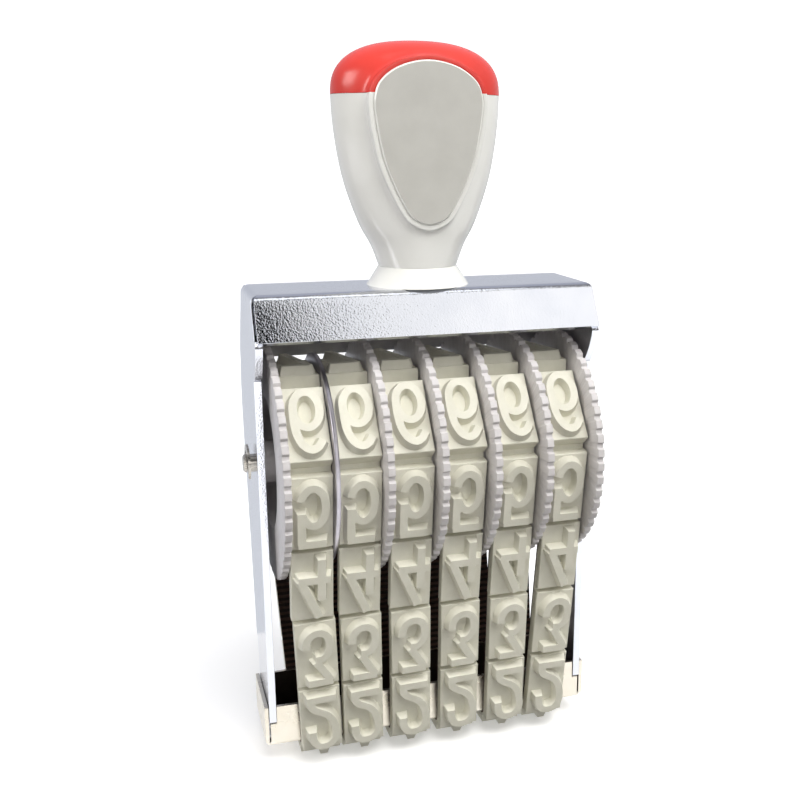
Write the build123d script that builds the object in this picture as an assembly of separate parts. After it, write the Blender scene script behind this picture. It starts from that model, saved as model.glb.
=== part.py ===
"""Self-standing six-band numbering stamp: yoke, platen bridge, axle, six thumbwheels with their
printing bands, and a screwed-on handle. Millimetres, +Z up, +X to the right, the face one looks at is -Y.
The origin is on the ground, below the middle of the stamp, which rests on the six raised ones."""

import os
from math import asin, atan2, cos, degrees, pi, radians, sin, sqrt

from build123d import *

os.makedirs("parts", exist_ok=True)

# ---------------------------------------------------------------- driving dimensions
# bands: rubber strap on the drum and the bridge, pads on the strap, digits on the pads
STRAP = 1.1
PAD = 1.6
RELIEF = 1.9
BAND_W = 9.1
BLOCKS = 12
GROOVE = 1.0
ROOT = 0.4
CREST = STRAP + PAD + RELIEF
FIT = 0.05

# yoke of bent sheet steel
YOKE_X = 38.0
SHEET = 1.6
TOP_Z = 108.35
BEND_R = 2.2
SIDE_BEND_R = 1.5
SLOPE_TOP = (11.75, 106.1)
FLANGE_FOOT = (15.5, 99.35)
WALL_KNEE = (18.7, 95.1)
WALL_FOOT_Z = 90.2
WALL_TAPER = ((18.7, 80.0), (17.2, 70.0), (7.4, 15.0))
SCOOP = ((-12.2, 93.4), (-9.9, 90.3))
LEG_FRONT = 8.9
LEG_STEP_Z = 10.9
LEG_STEP_Y = 7.4

# bridge the bands run over
BRIDGE_X = 39.0
BRIDGE_Y = 8.6
BRIDGE_H = 9.9
BRIDGE_T = 0.9
BRIDGE_R = 1.2
BRIDGE_Z = CREST + FIT
SLOT_Z = 10.4
SEAM = 0.3

# axle, thumbwheels and separator
AXLE_Z = 70.0
AXLE_R = 2.0
AXLE_END = 40.2
CLIP_X = 39.2
CLIP_T = 0.5
CLIP_R = 4.2
CLIP_GROOVE_R = 1.5
RIM_R = 26.2
RIM_ROOT_R = 25.55
TEETH = 52
DISC_T = 1.6
DRUM_R = 18.1
CAVITY_R = 14.6
HUB_R = 4.6
OUTER_FACE = 34.9
STATION = 11.7
SEPARATOR_X = -23.4
SEPARATOR_T = 1.0
SEPARATOR_R = 23.6
SIDE_GAP = 0.1

# handle
COLLAR_R = (11.3, 8.65)
COLLAR_H = 4.15
SEAM_Z = 148.6
APEX_Z = 159.6
HANDLE_A = 18.5
HANDLE_B = 10.1
DOME_POWER = 2.5
DOME_STEPS = 12
BOSS_Y = 10.6
BOSS_RING = 1.1
SHIELD = ((0, 155.1), (6.0, 153.9), (10.2, 151.0), (11.6, 147.4), (11.4, 143.6), (10.9, 140.4))
SHIELD += ((9.8, 135.4), (8.0, 130.6), (5.4, 125.5), (3.3, 122.9), (0, 121.8))
PANEL_Y = 11.0
PANEL_T = 1.5
TENON = (13.0, 6.0)
TENON_H = 3.0
STUD_R = 3.0
STUD_Z = (100.0, 127.0)
WASHER_R = 7.0
WASHER_T = 1.2
NUT_R = 5.77
NUT_T = 4.8

# digits, drawn readable about their own centre, then set upside down on the pads
STROKE = 1.0
DIGIT_A = 2.88
DIGIT_H = 6.78


def save(shape, name):
    """Write one node."""
    export_step(shape, "parts/" + name + ".step")


def prism_x(face, x0, x1):
    """Face drawn in the YZ plane (first coordinate y, second z), swept from x0 to x1."""
    return Pos(x0, 0, 0) * extrude(Plane.YZ * face, x1 - x0)


# ---------------------------------------------------------------- yoke
def lean():
    """Unit vector down the sloping flanges, in (y outward, z)."""
    dy = FLANGE_FOOT[0] - SLOPE_TOP[0]
    dz = FLANGE_FOOT[1] - SLOPE_TOP[1]
    n = sqrt(dy * dy + dz * dz)
    return dy / n, dz / n


def roof_outline(inset):
    """Top plate with its bends, offset inwards: points down the front and down the back wall."""
    uy, uz = lean()
    ny, nz = -uz, uy
    y0 = SLOPE_TOP[0] - ny * inset
    z0 = SLOPE_TOP[1] - nz * inset
    top = TOP_Z - inset
    corner = y0 - uy / uz * (z0 - top)
    front = FLANGE_FOOT[0] - ny * inset, FLANGE_FOOT[1] - nz * inset
    knee_y = WALL_KNEE[0] - inset
    knee = knee_y, z0 + uz / uy * (knee_y - y0)
    return corner, front, knee, top


def cap_sheet():
    """Top plate, short front flange and longer back wall, one bent sheet."""
    co, fo, ko, to = roof_outline(0)
    ci, fi, ki, ti = roof_outline(SHEET)
    pts = [(-fo[0], fo[1]), (-co, to), (co, to), ko, (ko[0], WALL_FOOT_Z)]
    pts += [(ki[0], WALL_FOOT_Z), ki, (ci, ti), (-ci, ti), (-fi[0], fi[1])]
    sheet = prism_x(make_face(Polyline(pts, close=True)), -YOKE_X, YOKE_X)
    outer = sheet.edges().filter_by(Axis.X).filter_by(lambda e: abs(e.center().Z - to) < 0.01)
    inner = sheet.edges().filter_by(Axis.X).filter_by(lambda e: abs(e.center().Z - ti) < 0.01)
    sheet = fillet(outer, BEND_R)
    inner = sheet.edges().filter_by(Axis.X).filter_by(lambda e: abs(e.center().Z - ti) < 0.01)
    inner = inner.filter_by(lambda e: abs(abs(e.center().Y) - ci) < 0.01)
    return fillet(inner, BEND_R - SHEET)


def leg_face():
    """Outline of a side leg: full depth at the top, cut back at the front, tapering behind."""
    co, fo, ko, to = roof_outline(0)
    foot_z = BRIDGE_Z + BRIDGE_T
    mid, end = SCOOP
    step = [(-LEG_STEP_Y, foot_z), (-LEG_STEP_Y, LEG_STEP_Z), (-LEG_FRONT, LEG_STEP_Z)]
    lower = Polyline(step + [(-LEG_FRONT, end[1]), end])
    scoop = ThreePointArc(end, mid, (-fo[0], fo[1]))
    back = [ko] + list(WALL_TAPER) + [(WALL_TAPER[-1][0], foot_z), step[0]]
    upper = Polyline([(-fo[0], fo[1]), (-co, to), (co, to)] + back)
    return make_face([lower, scoop, upper])


def leg(side):
    """One side leg with its axle hole."""
    a, b = sorted((side * (YOKE_X - SHEET), side * YOKE_X))
    plate = prism_x(leg_face(), a, b)
    top = plate.edges().filter_by(Axis.X).filter_by(lambda e: e.center().Z > TOP_Z - 0.01)
    plate = fillet(top, BEND_R)
    hole = Pos(a, 0, AXLE_Z) * Rot(0, 90, 0) * Cylinder(AXLE_R + FIT, 4 * SHEET)
    return plate - hole


def yoke():
    """Bent steel yoke, with the handle's stud hole in the top plate."""
    body = cap_sheet() + leg(-1) + leg(1)
    ends = body.edges().filter_by(lambda e: abs(abs(e.center().X) - YOKE_X) < 0.01)
    ends = ends.filter_by(lambda e: e.center().Z > TOP_Z - 0.01)
    body = fillet(ends, SIDE_BEND_R)
    return body - Pos(0, 0, TOP_Z) * Cylinder(STUD_R + FIT, 4 * SHEET)


# ---------------------------------------------------------------- bridge
def standing_box(x, y, z, length, depth, height):
    """Box standing on height z, centred on (x, y)."""
    return Pos(x, y, z) * Box(length, depth, height, align=(Align.CENTER, Align.CENTER, Align.MIN))


def bridge():
    """Channel folded up on four sides, slotted at the front where the legs come through."""
    shell = standing_box(0, 0, BRIDGE_Z, 2 * BRIDGE_X, 2 * BRIDGE_Y, BRIDGE_H)
    shell = fillet(shell.edges().filter_by(lambda e: e.center().Z < BRIDGE_Z + 0.01), BRIDGE_R)
    inside = 2 * (BRIDGE_X - BRIDGE_T), 2 * (BRIDGE_Y - BRIDGE_T)
    shell -= standing_box(0, 0, BRIDGE_Z + BRIDGE_T, *inside, BRIDGE_H)
    for side in (-1, 1):
        middle = side * (YOKE_X - SHEET / 2)
        corner = side * (BRIDGE_X - BRIDGE_T - SEAM / 2)
        shell -= standing_box(middle, -BRIDGE_Y, SLOT_Z, SHEET + 2 * FIT, 2 * BRIDGE_T + 1, BRIDGE_H)
        shell -= standing_box(corner, -BRIDGE_Y, BRIDGE_Z + 2 * BRIDGE_R, SEAM, 2 * BRIDGE_T + 1, BRIDGE_H)
    return shell


# ---------------------------------------------------------------- axle and wheels
def along_x(radius, x0, x1):
    """Cylinder about the axle line from x0 to x1."""
    return Pos((x0 + x1) / 2, 0, AXLE_Z) * Rot(0, 90, 0) * Cylinder(radius, x1 - x0)


def axle():
    """Round rod with chamfered ends and a groove for the retaining clip near each end."""
    rod = along_x(AXLE_R, -AXLE_END, AXLE_END)
    ends = rod.edges().filter_by(lambda e: abs(abs(e.center().X) - AXLE_END) < 0.01)
    rod = chamfer(ends, 0.3)
    for side in (-1, 1):
        a, b = clip_room(side, FIT)
        rod -= along_x(AXLE_R + 1, a, b) - along_x(CLIP_GROOVE_R, a, b)
    return rod


def clip_room(side, gap):
    """Where a retaining clip sits along X, with a gap left on both sides of it."""
    middle = side * CLIP_X
    return middle - CLIP_T / 2 - gap, middle + CLIP_T / 2 + gap


def axle_ring(side):
    """Spring retaining clip pushed on from above: a C open at the bottom, gripping at three places."""
    inner = CLIP_GROOVE_R + FIT
    back = (inner + CLIP_R) / 2
    clip = arc_piece(0, AXLE_Z, back, CLIP_R, radians(-40), radians(220), CLIP_T)
    for start, end in ((-40, -8), (72, 108), (188, 220)):
        clip += arc_piece(0, AXLE_Z, inner, back + 0.2, radians(start), radians(end), CLIP_T)
    return Pos(side * CLIP_X, 0, 0) * clip


def separator():
    """Polished disc between the first two bands, standing still on the axle."""
    a = SEPARATOR_X - SEPARATOR_T / 2
    b = SEPARATOR_X + SEPARATOR_T / 2
    return along_x(SEPARATOR_R, a, b) - along_x(AXLE_R, a, b)


def rim_outline():
    """Thumb rim: square-cut teeth all round, as one closed polygon."""
    pts = []
    for i in range(TEETH):
        for part, r in ((0.0, RIM_R), (0.3, RIM_R), (0.6, RIM_R), (0.64, RIM_ROOT_R), (0.96, RIM_ROOT_R)):
            t = 2 * pi * (i + part) / TEETH
            pts.append((r * cos(t), AXLE_Z + r * sin(t)))
    return make_face(Polyline(pts, close=True))


def wheel(disc, drum, hub):
    """Thumbwheel: toothed disc, hollow drum under the band, hub; each given as (x0, x1)."""
    drum_out = along_x(DRUM_R - FIT, min(drum), max(drum))
    body = prism_x(rim_outline(), disc[0], disc[1]) + drum_out
    outward = disc[0] if disc[0] < drum[0] else disc[1]
    inner = drum[1] if disc[0] < drum[0] else drum[0]
    web = inner + 2.0 if inner < outward else inner - 2.0
    body -= along_x(CAVITY_R, min(outward, web), max(outward, web))
    body += along_x(HUB_R, hub[0], hub[1])
    return body - along_x(AXLE_R + FIT, -YOKE_X, YOKE_X)


def wheel_places():
    """Disc, drum and hub of each thumbwheel along X; the first one faces the other way."""
    side = SEPARATOR_X - SEPARATOR_T / 2
    inner_leg = YOKE_X - SHEET
    first = (-OUTER_FACE, -OUTER_FACE + DISC_T)
    places = [(first, (first[1], side - SIDE_GAP), (-inner_leg + SIDE_GAP, side - SIDE_GAP))]
    left = SEPARATOR_X + SEPARATOR_T / 2
    for n in range(5):
        x1 = OUTER_FACE - (4 - n) * STATION
        disc = (x1 - DISC_T, x1)
        end = x1 if n < 4 else inner_leg - SIDE_GAP
        places.append((disc, (left + SIDE_GAP, disc[0]), (left + SIDE_GAP, end)))
        left = x1
    return places


def band_rooms():
    """Middle of the room each band has on its drum."""
    edges = [(-OUTER_FACE + DISC_T, SEPARATOR_X - SEPARATOR_T / 2)]
    left = SEPARATOR_X + SEPARATOR_T / 2
    for n in range(5):
        x1 = OUTER_FACE - (4 - n) * STATION
        edges.append((left, x1 - DISC_T))
        left = x1
    return [(a + b) / 2 for a, b in edges]


# ---------------------------------------------------------------- bands
# the loop: half the bridge, a corner, a straight run, the drum, and the same again at the back
CORNER_R = BRIDGE_R + FIT
CORNER_Y = BRIDGE_Y - BRIDGE_R
CORNER_Z = BRIDGE_Z + BRIDGE_R
SPAN = sqrt(CORNER_Y**2 + (AXLE_Z - CORNER_Z) ** 2)
RUN = sqrt(SPAN**2 - (DRUM_R - CORNER_R) ** 2)
LEAN = asin((DRUM_R - CORNER_R) / SPAN) - atan2(CORNER_Y, AXLE_Z - CORNER_Z)
NEUTRAL = STRAP / 2
S_CORNER = CORNER_Y
S_RUN = S_CORNER + (CORNER_R + NEUTRAL) * (pi / 2 + LEAN)
S_DRUM = S_RUN + RUN
S_TOP = S_DRUM + (DRUM_R + NEUTRAL) * (pi / 2 + LEAN)
PITCH = 2 * S_TOP / BLOCKS
SKEW_Z = 47.0
BRIDGE_CENTRES = (-26.5, -16.8, -5.5, 6.0, 17.6, 27.8)


def front_point(s):
    """Inner surface of the front half loop at length s: y, z and the angle of its normal above -Y."""
    if s < S_CORNER:
        return -s, BRIDGE_Z - FIT, -pi / 2
    if s < S_RUN:
        t = -pi / 2 + (s - S_CORNER) / (CORNER_R + NEUTRAL)
        return -CORNER_Y - CORNER_R * cos(t), CORNER_Z + CORNER_R * sin(t), t
    if s < S_DRUM:
        y = -CORNER_Y - CORNER_R * cos(LEAN) - (s - S_RUN) * sin(LEAN)
        z = CORNER_Z - CORNER_R * sin(LEAN) + (s - S_RUN) * cos(LEAN)
        return y, z, -LEAN
    t = -LEAN + (s - S_DRUM) / (DRUM_R + NEUTRAL)
    return -DRUM_R * cos(t), AXLE_Z + DRUM_R * sin(t), t


def loop_point(s):
    """Same for the whole loop; the back half mirrors the front half."""
    s = s % (2 * S_TOP)
    if s <= S_TOP:
        return front_point(s)
    y, z, t = front_point(2 * S_TOP - s)
    return -y, z, pi - t


def band_x(z, room, foot):
    """Middle of the band at height z: straight above the rims, then wandering to its place below."""
    if z > SKEW_Z:
        return room
    return room + (foot - room) * (SKEW_Z - z) / (SKEW_Z - CORNER_Z)


def arc_piece(cy, cz, r0, r1, t0, t1, width):
    """Ring sector about (cy, cz); angles measured up from -Y, swept across the width."""
    def at(r, t):
        return cy - r * cos(t), cz + r * sin(t)

    mid = (t0 + t1) / 2
    edges = [ThreePointArc(at(r0, t0), at(r0, mid), at(r0, t1)), Line(at(r0, t1), at(r1, t1))]
    edges += [ThreePointArc(at(r1, t1), at(r1, mid), at(r1, t0)), Line(at(r1, t0), at(r0, t0))]
    return prism_x(make_face(edges), -width / 2, width / 2)


def slab(s0, s1, x0, x1):
    """Straight length of strap between two places on the front run, drifting from x0 to x1."""
    y0, z0, t = front_point(s0)
    y1, z1, t = front_point(s1)
    ny, nz = -cos(t), sin(t)
    face = Polyline(
        [
            (x0 - BAND_W / 2, y0, z0),
            (x0 + BAND_W / 2, y0, z0),
            (x0 + BAND_W / 2, y0 + STRAP * ny, z0 + STRAP * nz),
            (x0 - BAND_W / 2, y0 + STRAP * ny, z0 + STRAP * nz),
        ],
        close=True,
    )
    way = Vector(x1 - x0, y1 - y0, z1 - z0)
    return extrude(make_face(face), way.length, dir=way.normalized())


def strap(room, foot):
    """The endless strap: drum arc, upper runs, drifting lower runs, and the fold under the bridge."""
    drum = arc_piece(0, AXLE_Z, DRUM_R, DRUM_R + STRAP, -LEAN, pi + LEAN, BAND_W)
    s_skew = S_RUN + (SKEW_Z - front_point(S_RUN + 0.001)[1]) / cos(LEAN)
    upper = slab(s_skew, S_DRUM - 0.0001, room, room)
    lower = slab(S_RUN + 0.0001, s_skew, foot, room)
    sole = Pos(0, BRIDGE_Z - FIT - STRAP / 2) * Rectangle(2 * CORNER_Y, STRAP)
    under = prism_x(sole, -BAND_W / 2, BAND_W / 2)
    corner = arc_piece(-CORNER_Y, CORNER_Z, CORNER_R, CORNER_R + STRAP, -pi / 2, -LEAN, BAND_W)
    half = [upper, lower, Pos(foot, 0, 0) * corner]
    back = [mirror(p, about=Plane.XZ) for p in half]
    whole = Pos(room, 0, 0) * drum
    for piece in half + back + [Pos(foot, 0, 0) * under]:
        whole += piece
    return whole


def block_frame(i, room, foot):
    """Plane of block i: origin on the strap's inner surface, x across, y along the loop, z outward."""
    y, z, t = loop_point(i * PITCH)
    x = band_x(z, room, foot)
    along = Vector(0, sin(t), cos(t))
    normal = Vector(0, -cos(t), sin(t))
    if z < SKEW_Z and abs(y) > CORNER_Y:
        way = 1 if y < 0 else -1
        along += Vector(way * (room - foot) / (SKEW_Z - CORNER_Z), 0, 0)
        along = along.normalized()
    return Plane(origin=(x, y, z), x_dir=along.cross(normal), z_dir=normal)


def side_plate(v0, v1, h0, h1):
    """Full-width plate from v0 to v1 along the loop and from h0 to h1 outwards."""
    middle = Pos(0, (v0 + v1) / 2, (h0 + h1) / 2)
    return middle * Box(BAND_W, v1 - v0, h1 - h0)


def pad(i, frame):
    """Flat pad of block i, filled down to the strap where it stands off the drum."""
    half = (PITCH - GROOVE) / 2
    top = STRAP + PAD
    plate = frame * side_plate(-half, half, STRAP - ROOT, top)
    reach = min(i, BLOCKS - i) * PITCH
    if reach + half <= S_DRUM:
        return plate
    v0 = max(-half, S_DRUM - reach)
    v0, v1 = (v0, half) if i <= BLOCKS / 2 else (-half, -v0)
    fill = frame * side_plate(v0, v1, STRAP - ROOT - PAD, top)
    return plate + (fill - along_x(DRUM_R + STRAP - ROOT, -YOKE_X, YOKE_X))


def bar(x0, y0, x1, y1):
    """Straight stroke, square ended."""
    length = sqrt((x1 - x0) ** 2 + (y1 - y0) ** 2)
    turn = degrees(atan2(y1 - y0, x1 - x0))
    return Pos((x0 + x1) / 2, (y0 + y1) / 2) * Rot(0, 0, turn) * Rectangle(length + STROKE, 2 * STROKE)


def bow(cx, cy, r, a0, a1):
    """Curved stroke about (cx, cy) from angle a0 up to a1."""
    def at(radius, a):
        return cx + radius * cos(radians(a)), cy + radius * sin(radians(a))

    r0, r1, mid = r - STROKE, r + STROKE, (a0 + a1) / 2
    edges = [ThreePointArc(at(r1, a0), at(r1, mid), at(r1, a1)), Line(at(r1, a1), at(r0, a1))]
    edges += [ThreePointArc(at(r0, a1), at(r0, mid), at(r0, a0)), Line(at(r0, a0), at(r1, a0))]
    return make_face(edges)


def strokes(digit):
    """The strokes of one numeral, readable way up, centred."""
    a, h, k = DIGIT_A, DIGIT_H, DIGIT_H - DIGIT_A
    if digit == 0:
        return [bow(0, k, a, 0, 180), bow(0, -k, a, 180, 360), bar(-a, -k, -a, k), bar(a, -k, a, k)]
    if digit == 1:
        return [bar(0.8, -h, 0.8, h), bar(-1.5, h - 2.5, 0.5, h - 0.3)]
    if digit == 2:
        hook = bow(0, k, a, -32, 172)
        return [hook, bar(a * 0.85, k - a * 0.53, -a * 0.9, -h + 1.2), bar(-a, -h, a, -h)]
    if digit == 3:
        belly = [bow(0, -1.0, a, 0, 105), bow(0, -k, a, 188, 360), bar(a, -k, a, -1.0)]
        return belly + [bar(-a, h, 2.4, h), bar(2.5, h - 0.2, -0.5, 1.9)]
    if digit == 4:
        return [bar(2.4, h, -a, -2.0), bar(-a, -2.4, 3.2, -2.4), bar(1.9, -h, 1.9, 2.6)]
    if digit == 5:
        belly = [bow(0, -0.8, a, 0, 140), bow(0, -k, a, 188, 360), bar(a, -k, a, -0.8)]
        return belly + [bar(-2.5, h, 2.6, h), bar(-2.5, h, -2.5, 1.2)]
    if digit in (6, 9):
        loop = [bow(0, -1.3, a, 0, 180), bow(0, -k, a, 180, 360), bar(a, -k, a, -1.3)]
        six = loop + [bar(-a, -k, -a, k), bow(0, k, a, 35, 180)]
        return six if digit == 6 else [Rot(0, 0, 180) * s for s in six]
    if digit == 7:
        return [bar(-a, h, a, h), bar(a - 0.3, h - 0.3, -0.7, -h)]
    upper = [bow(0, 4.25, 2.5, 0, 180), bow(0, 3.4, 2.5, 180, 360), bar(-2.5, 3.4, -2.5, 4.25)]
    upper += [bar(2.5, 3.4, 2.5, 4.25)]
    lower = [bow(0, -1.98, a, 0, 180), bow(0, -k, a, 180, 360), bar(-a, -k, -a, -1.98)]
    return upper + lower + [bar(a, -k, a, -1.98)]


def numeral(digit, h0, h1):
    """Raised numeral as a solid, mirrored for printing, standing on the pad of its block."""
    flat = Sketch() + strokes(digit)
    solid = extrude(flat, h1 - h0)
    return Pos(0, 0, h0) * mirror(solid, about=Plane.XZ)


def band(room, foot):
    """One printing band: strap, twelve pads, ten numerals and two blanks."""
    whole = strap(room, foot)
    for i in range(BLOCKS):
        frame = block_frame(i, room, foot)
        whole += pad(i, frame)
        if i < 10:
            whole += frame * numeral((i + 1) % 10, STRAP + PAD - ROOT, CREST)
    return whole


# ---------------------------------------------------------------- handle
def shield(grow):
    """Outline of the handle's pear-shaped boss in the XZ plane, grown outwards by an amount."""
    pts = [(SHIELD[0][0], SHIELD[0][1] + grow)]
    for (xa, za), (x, z), (xb, zb) in zip(SHIELD, SHIELD[1:], SHIELD[2:]):
        length = sqrt((xb - xa) ** 2 + (zb - za) ** 2)
        pts.append((x + grow * (za - zb) / length, z + grow * (xb - xa) / length))
    pts.append((SHIELD[-1][0], SHIELD[-1][1] - grow))
    right = Spline(pts, tangents=((1, 0), (-1, 0)))
    return make_face([right, mirror(right, about=Plane.YZ)])


def shield_prism(grow, depth):
    """Shield outline carried through the handle from one face to the other."""
    return extrude(Plane.XZ * shield(grow), depth, both=True)


def oval(a, b, z):
    """Level ellipse at height z."""
    return Pos(0, 0, z) * Ellipse(a, b)


def dome():
    """Rounded top of the handle, fuller than an ellipsoid."""
    pts = []
    for n in range(DOME_STEPS + 1):
        t = pi / 2 * n / DOME_STEPS
        r = HANDLE_A * max(cos(t), 0) ** (2 / DOME_POWER)
        z = SEAM_Z + (APEX_Z - SEAM_Z) * sin(t) ** (2 / DOME_POWER)
        pts.append((r if n < DOME_STEPS else 0, 0, z))
    arc = Spline(pts, tangents=((0, 0, 1), (-1, 0, 0)))
    face = make_face([arc, Line(pts[-1], (0, 0, SEAM_Z)), Line((0, 0, SEAM_Z), pts[0])])
    return scale(revolve(face, Axis.Z), (1, HANDLE_B / HANDLE_A, 1))


def grip():
    """Lower part of the handle, round at the neck and oval at the seam."""
    rows = [(COLLAR_R[1], COLLAR_R[1], TOP_Z + COLLAR_H), (10.4, 9.3, 117.0), (13.0, 9.8, 121.8)]
    rows += [(15.8, 10.0, 129.5), (17.3, 10.1, 136.1), (18.2, 10.1, 142.9), (HANDLE_A, HANDLE_B, SEAM_Z)]
    return loft([oval(*row) for row in rows])


def handle_parts():
    """White body and red cap of the handle, joined by a tenon and pocketed for the two panels."""
    boss = shield_prism(BOSS_RING, BOSS_Y)
    pocket = shield_prism(FIT, BOSS_Y + 1) - Box(80, 2 * (PANEL_Y - PANEL_T), 400)
    above = Pos(0, 0, SEAM_Z + 50) * Box(100, 100, 100)
    tenon = Pos(0, 0, SEAM_Z + 0.5) * extrude(Ellipse(*TENON), TENON_H + 1.0, both=True)
    mortise = Pos(0, 0, SEAM_Z) * extrude(Ellipse(TENON[0] + FIT, TENON[1] + FIT), TENON_H + 2.0)
    bore = Pos(0, 0, STUD_Z[1] + 1 - 20) * Cylinder(STUD_R + FIT, 40)
    body = grip() + (boss - above)
    body = body + (tenon & (Pos(0, 0, SEAM_Z - 10 + TENON_H) * Box(60, 60, 20)))
    body = body - pocket - bore
    cap = dome() + (boss & above)
    return body, cap - pocket - mortise


def panel(side):
    """Thin plate let into the boss, left plain."""
    plate = extrude(Plane.XZ * shield(0), PANEL_T)
    y = -PANEL_Y + PANEL_T if side < 0 else PANEL_Y
    return Pos(0, y, 0) * plate


def collar():
    """Flared ring between the handle and the yoke."""
    cone = Pos(0, 0, TOP_Z + COLLAR_H / 2) * Cone(COLLAR_R[0], COLLAR_R[1], COLLAR_H)
    top = cone.edges().filter_by(lambda e: e.center().Z > TOP_Z + COLLAR_H - 0.01)
    return fillet(top, 0.4) - Pos(0, 0, TOP_Z) * Cylinder(STUD_R + FIT, 40)


def stud():
    """Threaded stud that holds the handle to the yoke."""
    return Pos(0, 0, (STUD_Z[0] + STUD_Z[1]) / 2) * Cylinder(STUD_R, STUD_Z[1] - STUD_Z[0])


def washer():
    """Flat washer under the top plate."""
    ring = Cylinder(WASHER_R, WASHER_T) - Cylinder(STUD_R + FIT, 2 * WASHER_T)
    return Pos(0, 0, TOP_Z - SHEET - WASHER_T / 2) * ring


def nut():
    """Hexagon nut on the stud."""
    body = extrude(RegularPolygon(NUT_R, 6), NUT_T) - Cylinder(STUD_R + FIT, 4 * NUT_T)
    return Pos(0, 0, TOP_Z - SHEET - WASHER_T - NUT_T) * body


# ---------------------------------------------------------------- all nodes
def main():
    """Build and write every node."""
    save(yoke(), "yoke")
    save(bridge(), "bridge")
    save(axle(), "axle")
    save(axle_ring(-1), "axle_ring_left")
    save(axle_ring(1), "axle_ring_right")
    save(separator(), "separator")
    for n, place in enumerate(wheel_places(), 1):
        save(wheel(*place), "thumbwheel_" + str(n))
    for n, (room, foot) in enumerate(zip(band_rooms(), BRIDGE_CENTRES), 1):
        save(band(room, foot), "band_" + str(n))
    body, cap = handle_parts()
    save(body, "handle_body")
    save(cap, "handle_cap")
    save(panel(-1), "panel_front")
    save(panel(1), "panel_back")
    save(collar(), "collar")
    save(stud(), "stud")
    save(washer(), "washer")
    save(nut(), "nut")


if __name__ == "__main__":
    main()
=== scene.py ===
import math

import bmesh
import bpy
import numpy as np
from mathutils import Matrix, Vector


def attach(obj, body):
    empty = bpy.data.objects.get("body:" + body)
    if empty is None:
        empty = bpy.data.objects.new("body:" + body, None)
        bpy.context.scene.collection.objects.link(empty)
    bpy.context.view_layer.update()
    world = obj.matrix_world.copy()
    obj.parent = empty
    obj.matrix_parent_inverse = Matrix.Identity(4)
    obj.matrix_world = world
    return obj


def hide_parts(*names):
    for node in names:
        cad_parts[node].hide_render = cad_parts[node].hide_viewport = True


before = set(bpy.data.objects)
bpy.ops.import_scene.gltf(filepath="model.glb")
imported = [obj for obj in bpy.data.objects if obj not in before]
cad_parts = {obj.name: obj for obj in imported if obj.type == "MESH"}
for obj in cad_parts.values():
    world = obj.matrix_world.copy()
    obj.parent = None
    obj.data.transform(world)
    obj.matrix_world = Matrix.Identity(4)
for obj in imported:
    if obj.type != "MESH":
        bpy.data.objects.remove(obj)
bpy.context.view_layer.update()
scene = bpy.context.scene

# ------------------------------------------------------------------ camera
# A portrait lens held a little above the stamp and to its left, upright.
CAMERA_AT = (-0.0611, -0.2259, 0.1381)
CAMERA_AZIMUTH = -17.28
CAMERA_ELEVATION = 13.74
LENS = 47.27
CAMERA_SHIFT = (-0.0710, 0.0032)

lens = bpy.data.cameras.new("camera")
lens.sensor_width = 36.0
lens.lens = LENS
lens.shift_x, lens.shift_y = CAMERA_SHIFT
lens.clip_start = 0.005
lens.clip_end = 20.0
camera = bpy.data.objects.new("camera", lens)
camera.location = CAMERA_AT
camera.rotation_euler = (math.radians(90 - CAMERA_ELEVATION), 0, math.radians(CAMERA_AZIMUTH))
scene.collection.objects.link(camera)
scene.camera = camera

# ------------------------------------------------------------------ studio
# Soft lamps over white paper. Four sheets of light show in the chrome and two fills don't; the rest
# of what the chrome mirrors is the room: bright behind, grey in front, with a dark gap high in
# front. The stamp stands on a paper table, and a bowl of the same paper stands round it.


def linear(code):
    """Linear RGBA of an sRGB hex colour: c/12.92 below 0.04045, else ((c + 0.055)/1.055)^2.4."""
    srgb = np.array([int(code[i:i + 2], 16) / 255 for i in (0, 2, 4)])
    rgb = np.where(srgb <= 0.04045, srgb / 12.92, ((srgb + 0.055) / 1.055) ** 2.4)
    return (*(float(c) for c in rgb), 1.0)


def add_node(tree, kind, settings=None, links=None):
    """Adds a node, sets its own properties and input values, and joins its inputs to given outputs."""
    node = tree.nodes.new(kind)
    for name, value in (settings or {}).items():
        if isinstance(name, str) and hasattr(node, name):
            setattr(node, name, value)
        else:
            node.inputs[name].default_value = value
    for name, output in (links or {}).items():
        tree.links.new(output, node.inputs[name])
    return node


def new_material(name, **settings):
    """Material with a Principled shader, its constant values set on the shader's own sockets."""
    material = bpy.data.materials.new(name)
    material.use_nodes = True
    shader = material.node_tree.nodes["Principled BSDF"]
    for socket, value in settings.items():
        shader.inputs[socket.replace("_", " ")].default_value = value
    return material, material.node_tree, shader


# each lamp's name, place, size, power, colour, and whether the chrome shows it
STAMP_MIDDLE = (0.0, 0.0, 0.085)
LAMPS = (
    ("high front sheet", (0.34, -0.58, 0.72), (0.44, 0.56), 0.95, "fffefc", True),
    ("low front sheet", (0.06, -0.92, 0.40), (0.80, 0.26), 1.6, "fffefc", True),
    ("overhead sheet", (0.10, -0.20, 0.92), (0.50, 0.30), 0.7, "fcfdff", True),
    ("left sheet", (-0.82, -0.22, 0.50), (0.40, 0.40), 3.6, "fffdfb", True),
    ("front fill", (0.12, -0.46, 0.88), (0.60, 0.50), 5.8, "fffefc", False),
    ("right fill", (0.68, -0.30, 0.62), (0.60, 0.50), 2.4, "fffefc", False),
)
for name, at, size, power, colour, in_chrome in LAMPS:
    data = bpy.data.lights.new(name, "AREA")
    data.shape = "RECTANGLE"
    data.size, data.size_y = size
    data.energy = power
    data.color = linear(colour)[:3]
    lamp = bpy.data.objects.new(name, data)
    lamp.location = at
    lamp.rotation_euler = (Vector(STAMP_MIDDLE) - Vector(at)).to_track_quat("-Z", "Y").to_euler()
    lamp.visible_glossy = in_chrome
    scene.collection.objects.link(lamp)

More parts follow.
